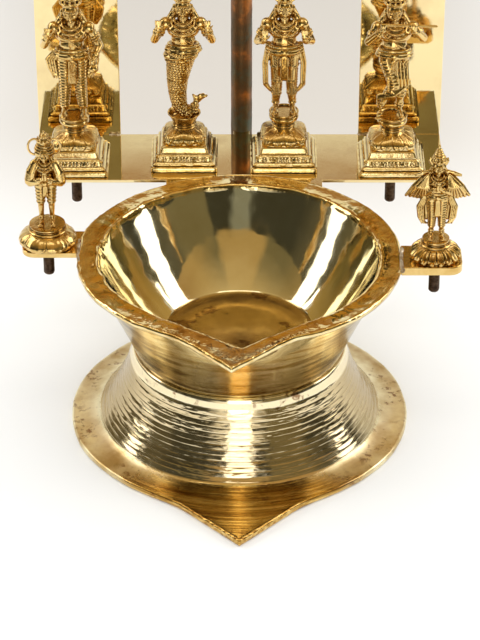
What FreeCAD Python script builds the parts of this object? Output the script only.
"""Brass oil lamp: a turned foot, a spouted bowl, and a shelf of small cast figures under an arch.

All sizes are in millimetres, +Z is up, and the pouring lips point along -Y. The shapes are drawn
about the lamp's own axis, and each one is moved by SHIFT as it is written out, so that the
middle of the whole lamp's footprint is the origin.
"""
import FreeCAD, Part
import math
import os
from FreeCAD import Rotation, Vector

# ---- driving sizes -------------------------------------------------------------------------
STUD_D = 8.0                 # M8 studs under the figures set the scale of everything else
SHELF_STUD = 30.5            # bare thread showing under the shelf
TANG_STUD = 21.5             # bare thread showing under each tang
FOOT_R = 122.0               # brim of the foot
FOOT_LIP = 4.8               # thickness of the foot's brim
WAIST_R = 75.0               # seam between foot and bowl
WAIST_Z = 63.0
RIM_R = 115.0                # outside of the bowl's flat rim
RIM_WIDTH = 16.0
RIM_Z = 135.3                # top of the rim, the tangs and the shelf
RIM_T = 4.4
FLOOR_R = 52.0               # flat floor inside the bowl
FLOOR_Z = 71.0
LIFT_GAP = 0.3               # air under a loose figure's base
BORE_GAP = 0.08              # play between a loose stud and its hole, on the radius
SEAT_GAP = 0.02              # play between two pieces that are fixed together, on the radius

# ---- worked-out sizes ----------------------------------------------------------------------
STUD_R = STUD_D / 2
RIM_IN = RIM_R - RIM_WIDTH
COLLAR_Z = WAIST_Z - 9.0     # plain band at the top of the foot
COLLAR_R = WAIST_R + 3.5
FLARE_R = FOOT_R - 21.0      # where the ridged flare meets the plain brim
FLARE_Z = 9.0
RIDGES = 10
RIDGE_RISE = 1.1
SPIGOT_R = WAIST_R - 9.0     # short spigot under the bowl, seated in the foot's collar
FOOT_TIP_Y = -FOOT_R - 41.0
RIM_TIP_Y = -RIM_R - 32.0
RIM_TIP_TURN = -2.0          # the bowl's lip is turned a little from the foot's, in degrees

SHELF_T = 2.3
SHELF_HALF = 152.0
SHELF_FRONT = 107.0
SHELF_BACK = 178.0
TONGUE = (-54.0, 61.0)       # the shelf's middle tongue, in X
CRADLE_HALF = 6.0            # half width of the tab that the rod is brazed to
ARCH_LEG = 62.0              # width of the arch plate all the way round
ARCH_T = 3.0
ARCH_SPRING = 190.0          # height of the arch's straight legs above the shelf
ROD_R = 8.0
ROD_X = 1.6
ROD_Y = SHELF_BACK + ARCH_T + ROD_R
ARCH_Z = RIM_Z + ARCH_SPRING
ARCH_TOP = ARCH_Z + SHELF_HALF
FINIAL_R = 17.0

SIDE_X = (-136.0, 138.0)     # the two side figures, on tangs
SIDE_Y = (17.0, -3.0)
TANG_DEEP = 31.0
TANG_T = (4.0, 6.5)
TANG_END = (-154.0, 157.0)
SIDE_TALL = 74.0             # side figure, feet to crown
PAD_UP = 15.5                # side figure's feet above its plate
WING_HALF = 25.0
LOTUS_R = (20.5, 17.5)

SHELF_X = (-122.0, -41.0, 33.0, 113.0)
SHELF_Y = (134.5, 142.0, 141.0, 134.5)
BLOCK = 50.0                 # side of a square pedestal
BLOCK_UP = 17.0
SEAT_UP = 23.0               # lotus seat on each pedestal
TALL = 110.0                 # shelf figure, feet to crown

LEFT_MOST = SIDE_X[0] - LOTUS_R[0]
RIGHT_MOST = SIDE_X[1] + WING_HALF
BACK_MOST = ROD_Y + FINIAL_R
SHIFT = Vector(-(LEFT_MOST + RIGHT_MOST) / 2, -(FOOT_TIP_Y + BACK_MOST) / 2, 0)


# ---- small helpers -------------------------------------------------------------------------
def save(shape, node):
    """Write one node, moved so that the lamp's footprint is centred on the origin."""
    placed = shape.copy()
    placed.translate(SHIFT)
    placed.exportStep("parts/" + node + ".step")


def fused(shapes):
    return shapes[0].fuse(shapes[1:]).removeSplitter()


def turned(points):
    """A solid of revolution about Z from a closed outline of (radius, height) points."""
    outline = Part.makePolygon([Vector(r, 0, z) for r, z in points + points[:1]])
    return Part.Face(outline).revolve(Vector(0, 0, 0), Vector(0, 0, 1), 360)


def bezier(start, pull, end, t):
    """Point at t on a curve from start to end, drawn towards pull."""
    return tuple((1 - t) ** 2 * a + 2 * t * (1 - t) * b + t * t * c
                 for a, b, c in zip(start, pull, end))


def plate(points, bottom, top):
    """A flat plate from an outline of (x, y) points."""
    outline = Part.makePolygon([Vector(x, y, bottom) for x, y in points + points[:1]])
    return Part.Face(outline).extrude(Vector(0, 0, top - bottom))


def cylinder(x, y, bottom, top, radius):
    return Part.makeCylinder(radius, top - bottom, Vector(x, y, bottom))


def square(x, y, bottom, top, side):
    return Part.makeBox(side, side, top - bottom, Vector(x - side / 2, y - side / 2, bottom))


def taper(x, y, bottom, top, low_side, high_side):
    """A square frustum standing on its larger or smaller end."""
    rings = []
    for z, side in ((bottom, low_side), (top, high_side)):
        h = side / 2
        corners = [(-h, -h), (h, -h), (h, h), (-h, h), (-h, -h)]
        rings.append(Part.makePolygon([Vector(x + a, y + b, z) for a, b in corners]))
    return Part.makeLoft(rings, True, True)


def ball(centre, radius):
    return Part.makeSphere(radius, Vector(*centre))


def limb(start, end, start_r, end_r):
    """A round tapering limb between two points, with a ball at its far end."""
    a, b = Vector(*start), Vector(*end)
    bone = Part.makeCone(start_r, end_r, (b - a).Length, a, b - a)
    return bone.fuse(ball(end, end_r * 1.05))


def stacked(x, y, z, rings):
    """A turned piece standing at (x, y, z), from (radius, height) points up its outside."""
    top = rings[-1][1]
    shape = turned([(0, 0)] + list(rings) + [(0, top)])
    shape.translate(Vector(x, y, z))
    return shape


# ---- foot and bowl -------------------------------------------------------------------------
def lip_outline(root_r, half_angle, tip_y, turn, sag):
    """Outline of a pointed pouring lip that leaves a circle of root_r and sags in at its sides."""
    tip = (0.0, tip_y)
    points = [(0.0, -root_r * 0.9)]
    for side in (-1, 1):
        a = math.radians(half_angle) * side
        root = (root_r * math.sin(a), -root_r * math.cos(a))
        pull = (root[0] * (0.5 - sag), (root[1] + tip_y) / 2 - (0.5 - sag) * 6)
        run = [bezier(root, pull, tip, t / 6) for t in range(7)]
        points += run if side < 0 else run[-2::-1]
    angle = math.radians(turn)
    return [(x * math.cos(angle) - y * math.sin(angle), x * math.sin(angle) + y * math.cos(angle))
            for x, y in points]


def ridge_ring(start, end):
    """Middle point of a rounded ridge that bulges out between two points of the flare."""
    dr, dz = end[0] - start[0], end[1] - start[1]
    run = math.hypot(dr, dz)
    return ((start[0] + end[0]) / 2 + RIDGE_RISE * dz / run,
            (start[1] + end[1]) / 2 - RIDGE_RISE * dr / run)


def make_foot():
    def at(point):
        return Vector(point[0], 0, point[1])

    low, high = (FLARE_R, FLARE_Z), (COLLAR_R, COLLAR_Z)
    pull = (FLARE_R - 15.0, FLARE_Z + 19.0)
    stops = [bezier(low, pull, high, i / RIDGES) for i in range(RIDGES + 1)]
    wall = 4.5
    outside = [(FOOT_R - 8.0, 0), (FOOT_R, 0), (FOOT_R, FOOT_LIP - 1), (FOOT_R - 1, FOOT_LIP),
               (FOOT_R - 9, FOOT_LIP + 0.4), low]
    inside = [(WAIST_R, WAIST_Z), (SPIGOT_R + SEAT_GAP, WAIST_Z), (SPIGOT_R + SEAT_GAP, COLLAR_Z),
              (COLLAR_R - wall, COLLAR_Z - 2), (pull[0] - wall, pull[1]),
              (FLARE_R - wall, FLARE_Z - 3), (FOOT_R - 8.0, 0)]
    edges = [Part.makeLine(at(a), at(b)) for a, b in zip(outside, outside[1:])]
    edges += [Part.Arc(at(a), at(ridge_ring(a, b)), at(b)).toShape() for a, b in zip(stops, stops[1:])]
    inside = [high] + inside
    edges += [Part.makeLine(at(a), at(b)) for a, b in zip(inside, inside[1:])]
    body = Part.Face(Part.Wire(edges)).revolve(Vector(0, 0, 0), Vector(0, 0, 1), 360)
    lip = plate(lip_outline(FOOT_R, 25, FOOT_TIP_Y, 0, 0.04), 0, FOOT_LIP)
    lip = lip.cut(cylinder(0, 0, -1, FOOT_LIP + 1, FOOT_R - 2))
    return fused([body, lip])


def wedge(low_z, high_z, low, high):
    """A three-cornered loft for the bowl's pouring channel and for the keel under it."""
    rings = []
    for z, (half, back, tip) in ((low_z, low), (high_z, high)):
        corners = [(-half, back), (half, back), (0, tip), (-half, back)]
        rings.append(Part.makePolygon([Vector(x, y, z) for x, y in corners]))
    shape = Part.makeLoft(rings, True, True)
    shape.rotate(Vector(0, 0, 0), Vector(0, 0, 1), RIM_TIP_TURN)
    return shape


def make_bowl():
    under = RIM_Z - RIM_T
    outer = [bezier((WAIST_R, WAIST_Z), (WAIST_R + 15, WAIST_Z + 40), (RIM_R - 6, under), i / 8)
             for i in range(9)]
    inner = [bezier((RIM_IN, RIM_Z), (82, FLOOR_Z + 13), (FLOOR_R, FLOOR_Z), i / 12)
             for i in range(13)]
    outline = [(0, FLOOR_Z - 5), (SPIGOT_R - 6, FLOOR_Z - 5), (SPIGOT_R - 6, COLLAR_Z + 1),
               (SPIGOT_R, COLLAR_Z + 1), (SPIGOT_R, WAIST_Z)]
    outline += outer + [(RIM_R, under), (RIM_R, RIM_Z)] + inner + [(0, FLOOR_Z)]
    body = turned(outline)
    lip = plate(lip_outline(RIM_R, 20.5, RIM_TIP_Y, RIM_TIP_TURN, 0.02), under, RIM_Z)
    keel = wedge(under - 26, under + 1, (10, -80, -91), (33, -90, -132))
    channel = wedge(under - 20, RIM_Z + 1, (12, -66, -89), (50, -60, -121))
    hollow = turned(inner + [(0, FLOOR_Z), (0, RIM_Z)])
    return fused([body, lip, keel]).cut(hollow).cut(channel)


# ---- plates --------------------------------------------------------------------------------
def make_tang(index):
    """Plate brazed to the side of the rim, with a rounded outer end and one stud hole."""
    side = -1 if index == 0 else 1
    x_end, y, thick = TANG_END[index], SIDE_Y[index], TANG_T[index]
    half = TANG_DEEP / 2
    corner = 9.0
    points = [(side * RIM_R * 0.9, y - half), (x_end - side * corner, y - half)]
    for i in range(1, 6):
        a = math.radians(18 * i)
        points.append((x_end - side * corner * (1 - math.sin(a)),
                       y - half + corner * (1 - math.cos(a))))
    points += [(x_end, y + half - 4), (x_end - side * 4, y + half), (side * RIM_R * 0.9, y + half)]
    shape = plate(points, RIM_Z - thick, RIM_Z)
    shape = shape.cut(cylinder(0, 0, RIM_Z - 20, RIM_Z + 1, RIM_R))
    return shape.cut(cylinder(SIDE_X[index], y, RIM_Z - 20, RIM_Z + 1, STUD_R + BORE_GAP))


def make_shelf():
    left, right = TONGUE
    tab_left, tab_right = ROD_X - CRADLE_HALF, ROD_X + CRADLE_HALF
    points = [(-SHELF_HALF, SHELF_FRONT), (left, SHELF_FRONT), (left, 80), (right, 80),
              (right, SHELF_FRONT), (SHELF_HALF, SHELF_FRONT), (SHELF_HALF, SHELF_BACK),
              (tab_right, SHELF_BACK), (tab_right, ROD_Y), (tab_left, ROD_Y),
              (tab_left, SHELF_BACK), (-SHELF_HALF, SHELF_BACK)]
    shape = plate(points, RIM_Z - SHELF_T, RIM_Z)
    shape = shape.cut(cylinder(0, 0, RIM_Z - 20, RIM_Z + 1, RIM_R))
    shape = shape.cut(cylinder(ROD_X, ROD_Y, RIM_Z - 20, RIM_Z + 1, ROD_R))
    for x, y in zip(SHELF_X, SHELF_Y):
        shape = shape.cut(cylinder(x, y, RIM_Z - 20, RIM_Z + 1, STUD_R + BORE_GAP))
    return shape


def make_arch():
    """Flat arch plate standing against the shelf's back edge, open in the middle."""
    bottom = RIM_Z - SHELF_T
    inner = SHELF_HALF - ARCH_LEG
    front = Vector(0, SHELF_BACK, 0)

    def disc(radius):
        return Part.makeCylinder(radius, ARCH_T, front + Vector(0, 0, ARCH_Z), Vector(0, 1, 0))

    tall = ARCH_Z - bottom
    outside = Part.makeBox(2 * SHELF_HALF, ARCH_T, tall, Vector(-SHELF_HALF, SHELF_BACK, bottom))
    opening = Part.makeBox(2 * inner, ARCH_T, tall, Vector(-inner, SHELF_BACK, bottom))
    return fused([outside, disc(SHELF_HALF)]).cut(fused([opening, disc(inner)]))


# ---- figures -------------------------------------------------------------------------------
def make_block(x, y):
    """Square stepped pedestal: slab, bead, cove, dentil neck and top slab, bored for the stud."""
    z = RIM_Z + LIFT_GAP
    layers = [square(x, y, z, z + 4, BLOCK), taper(x, y, z + 4, z + 6, BLOCK - 4, BLOCK - 3),
              taper(x, y, z + 6, z + 9, BLOCK - 5, BLOCK - 11),
              square(x, y, z + 9, z + 13, BLOCK - 13),
              taper(x, y, z + 13, z + 15, BLOCK - 13, BLOCK - 16),
              square(x, y, z + 15, z + BLOCK_UP, BLOCK - 15)]
    shape = fused(layers)
    dentil = 1.0
    for i in range(5):
        offset = (i - 2) * 7.0
        for swap in (False, True):
            for side in (-1, 1):
                reach = side * (BLOCK - 13) / 2
                place = (reach, offset) if swap else (offset, reach)
                shape = shape.fuse(square(x + place[0], y + place[1], z + 9.7, z + 12.3, 2 * dentil))
    return shape.removeSplitter().cut(cylinder(x, y, z - 1, z + 40, STUD_R + SEAT_GAP))


def make_seat(x, y, cup):
    """Lotus dome on the pedestal, with a neck and either an open cup or a round pad above."""
    z = RIM_Z + LIFT_GAP + BLOCK_UP
    wide = 15.5 if cup else 17.0
    rings = [(wide - 1.5, 0), (wide, 2.0), (wide - 0.6, 5.0), (wide - 4.5, 8.5), (8.5, 10.5),
             (7.6, 11.5), (8.4, 12.6)]
    if cup:
        rings += [(8.2, 13.5), (9.8, 17.0), (11.6, 21.5), (12.2, SEAT_UP)]
    else:
        rings += [(7.8, 13.8), (9.6, 16.5), (10.8, 18.5), (10.4, 21.0), (10.8, SEAT_UP)]
    bore = cylinder(x, y, z - 1, z + 8, STUD_R + SEAT_GAP)
    return stacked(x, y, z, rings).cut(bore)


def make_side_base(index):
    """Round lotus base of a side figure, with a two-step pad, bored for the stud."""
    x, y, z = SIDE_X[index], SIDE_Y[index], RIM_Z + LIFT_GAP
    wide = LOTUS_R[index]
    rings = [(wide - 4, 0), (wide, 3.2), (wide - 1.0, 5.4), (wide - 6.0, 9.0), (wide - 7.5, 10.4),
             (wide - 6.6, 11.4), (wide - 8.2, 12.2), (wide - 8.4, PAD_UP)]
    bore = cylinder(x, y, z - 1, z + 9, STUD_R + SEAT_GAP)
    return stacked(x, y, z, rings).cut(bore)


def make_stud(x, y, plate_t, below, inside):
    """Bare M8 stud with a blunt point, from below its plate up into the figure's base."""
    top = RIM_Z + LIFT_GAP + inside
    bottom = RIM_Z - plate_t - below
    point = Part.makeCone(STUD_R * 0.72, STUD_R, 1.2, Vector(x, y, bottom))
    return fused([point, cylinder(x, y, bottom + 1.2, top, STUD_R)])


def places(x, y, z, tall):
    """Gives a function that turns shares of a figure's height into a place on that figure."""
    def at(u, v, w):
        return (x + u * tall, y + v * tall, z + w * tall)

    return at


def chain(at, stops, girth):
    """Limbs through a list of places, with the radius of each one."""
    return [limb(at(*a), at(*b), ra, rb) for a, b, ra, rb in zip(stops, stops[1:], girth, girth[1:])]


def trunk(at, tall, stout=1.0, lean=0.0):
    """Hips, chest, head and pointed crown."""
    r = tall * stout
    return [Part.makeCone(r * 0.115, r * 0.085, tall * 0.13, Vector(*at(0, 0, 0.40))),
            Part.makeCone(r * 0.082, r * 0.115, tall * 0.15, Vector(*at(0, 0, 0.525))),
            limb(at(0, 0, 0.66), at(lean, -0.005, 0.76), r * 0.075, r * 0.072),
            Part.makeCone(r * 0.08, r * 0.02, tall * 0.20, Vector(*at(lean, 0, 0.80)))]


def leg(at, r, hip, knee, ankle, toe):
    """A thigh, a shin and a foot."""
    return (chain(at, (hip, knee), (r * 0.064, r * 0.048))
            + chain(at, (knee, ankle, toe), (r * 0.047, r * 0.028, r * 0.021)))


def straight_legs(at, r, stride, toe_up):
    pieces = []
    for side in (-1, 1):
        pieces += leg(at, r, (side * 0.06, 0, 0.45), (side * stride, -0.01, 0.24),
                      (side * stride, 0.01, 0.035), (side * stride * 1.15, -0.075, toe_up))
    return pieces


def arm(at, r, shoulder, elbow, hand):
    return chain(at, (shoulder, elbow), (r * 0.048, r * 0.042)) \
        + chain(at, (elbow, hand), (r * 0.041, r * 0.032))


def folded_arms(at, r, spread):
    pieces = []
    for side in (-1, 1):
        pieces += arm(at, r, (side * 0.105, 0, 0.65), (side * spread, -0.03, 0.53),
                      (side * 0.02, -0.13, 0.62))
    return pieces


def figure_standing(x, y, z):
    """End figure with a raised open hand and a small pot held low."""
    at = places(x, y, z, TALL)
    pieces = trunk(at, TALL) + straight_legs(at, TALL, 0.075, 0.022)
    pieces += arm(at, TALL, (-0.11, 0, 0.65), (-0.18, 0.0, 0.52), (-0.15, -0.10, 0.66))
    pieces += arm(at, TALL, (0.11, 0, 0.65), (0.17, 0.01, 0.51), (0.14, -0.09, 0.46))
    pieces.append(ball(at(0.14, -0.11, 0.41), 5.0))
    return fused(pieces)


def figure_fish(x, y, z):
    """Half figure rising from a scaled fish tail that stands in its cup and curls up to one side."""
    at = places(x, y, z, TALL)
    tail = [(-0.02, 0, 0.42), (-0.05, 0, 0.26), (-0.045, 0, 0.14), (-0.005, 0, 0.0547),
            (0.06, 0, 0.055), (0.085, 0, 0.10)]
    girth = [share * TALL for share in (0.105, 0.085, 0.066, 0.052, 0.036, 0.028)]
    pieces = chain(at, tail, girth) + trunk(at, TALL)
    pieces.append(limb(at(0.05, 0, 0.115), at(0.16, 0, 0.135), TALL * 0.026, TALL * 0.016))
    for side in (-1, 1):
        pieces += arm(at, TALL, (side * 0.11, 0, 0.65), (side * 0.19, 0, 0.53),
                      (side * 0.16, -0.06, 0.68))
    return fused(pieces)


def figure_sashes(x, y, z):
    """Figure in a long pleated cloth with a flat sash hanging on each side."""
    at = places(x, y, z, TALL)
    pieces = trunk(at, TALL) + straight_legs(at, TALL, 0.075, 0.022)
    for side in (-1, 1):
        pieces += arm(at, TALL, (side * 0.11, 0, 0.65), (side * 0.17, 0, 0.52),
                      (side * 0.13, -0.10, 0.60))
        corner = Vector(*at(side * 0.125, 0, 0.17)) - Vector(2.0, 1.5, 0)
        pieces.append(Part.makeBox(4.0, 3.0, TALL * 0.33, corner))
    return fused(pieces)


def figure_flute(x, y, z):
    """Flute player with one leg crossed in front of the other."""
    at = places(x, y, z, TALL)
    pieces = trunk(at, TALL, lean=-0.01)
    pieces += leg(at, TALL, (0.05, 0, 0.45), (0.06, 0, 0.24), (0.055, 0.01, 0.035), (0.07, -0.07, 0.022))
    pieces += leg(at, TALL, (-0.06, 0, 0.45), (0.0, -0.05, 0.26), (-0.085, -0.04, 0.09),
                  (-0.095, -0.06, 0.025))
    pieces += arm(at, TALL, (-0.11, 0, 0.65), (-0.17, -0.04, 0.56), (-0.10, -0.12, 0.69))
    pieces += arm(at, TALL, (0.11, 0, 0.65), (0.18, -0.03, 0.58), (0.16, -0.12, 0.70))
    pieces.append(limb(at(-0.08, -0.13, 0.715), at(0.26, -0.115, 0.70), TALL * 0.014, TALL * 0.013))
    return fused(pieces)


def figure_monkey(x, y, z):
    """Stout figure with folded hands, wide elbows and a ring standing out each side of its head."""
    at = places(x, y, z, SIDE_TALL)
    stout = 1.12
    pieces = trunk(at, SIDE_TALL, stout) + straight_legs(at, SIDE_TALL * stout, 0.075, 0.0248)
    pieces += folded_arms(at, SIDE_TALL * stout, 0.20)
    for side in (-1, 1):
        centre = Vector(*at(side * 0.105, 0, 0.79))
        pieces.append(Part.makeTorus(SIDE_TALL * 0.062, SIDE_TALL * 0.018, centre, Vector(0, 1, 0)))
    return fused(pieces)


def figure_winged(x, y, z):
    """Figure with folded hands, a cone crown and spread wings."""
    at = places(x, y, z, SIDE_TALL)
    pieces = trunk(at, SIDE_TALL) + straight_legs(at, SIDE_TALL, 0.06, 0.022)
    pieces += folded_arms(at, SIDE_TALL, 0.17)
    for side in (-1, 1):
        outline = [(0.04, 0.70), (0.16, 0.71), (WING_HALF / SIDE_TALL, 0.46), (0.24, 0.42),
                   (0.14, 0.44), (0.06, 0.50)]
        corners = [Vector(*at(side * u, 0, w)) + Vector(0, 2.0, 0) for u, w in outline]
        wing = Part.Face(Part.makePolygon(corners + corners[:1]))
        pieces.append(wing.extrude(Vector(0, 3.5, 0)))
        corner = Vector(*at(side * 0.135, 0, 0.14)) - Vector(1.6, 0, 0)
        pieces.append(Part.makeBox(3.2, 3.0, SIDE_TALL * 0.34, corner))
    return fused(pieces)


# ---- write every node ----------------------------------------------------------------------
os.makedirs("parts", exist_ok=True)

save(make_foot(), "foot")
save(make_bowl(), "bowl")
save(make_tang(0), "left_tang")
save(make_tang(1), "right_tang")
save(make_shelf(), "shelf_plate")
save(make_arch(), "arch_plate")

rod_bottom = RIM_Z - 16.0
rod_top = ARCH_TOP + 14.0
save(cylinder(ROD_X, ROD_Y, rod_bottom, rod_top, ROD_R), "centre_rod")
finial_rings = [(ROD_R, 0), (15, 2), (16, 5), (9, 9), (7.5, 11), (13, 16), (FINIAL_R, 25), (14, 34),
                (7, 41), (4, 46), (2.5, 54), (0.8, 60)]
save(stacked(ROD_X, ROD_Y, rod_top, finial_rings), "finial")

shelf_names = ("standing", "fish", "sashed", "flute")
shelf_makers = (figure_standing, figure_fish, figure_sashes, figure_flute)
for name, maker, x, y in zip(shelf_names, shelf_makers, SHELF_X, SHELF_Y):
    feet_z = RIM_Z + LIFT_GAP + BLOCK_UP + SEAT_UP
    save(make_block(x, y), name + "_pedestal")
    save(make_seat(x, y, name == "fish"), name + "_lotus_seat")
    save(maker(x, y, feet_z), name + "_figure")
    save(make_stud(x, y, SHELF_T, SHELF_STUD, BLOCK_UP + 7), name + "_stud")

for index, (name, maker) in enumerate((("monkey", figure_monkey), ("winged", figure_winged))):
    x, y = SIDE_X[index], SIDE_Y[index]
    save(make_side_base(index), name + "_lotus_base")
    save(maker(x, y, RIM_Z + LIFT_GAP + PAD_UP), name + "_figure")
    save(make_stud(x, y, TANG_T[index], TANG_STUD, 8.5), name + "_stud")
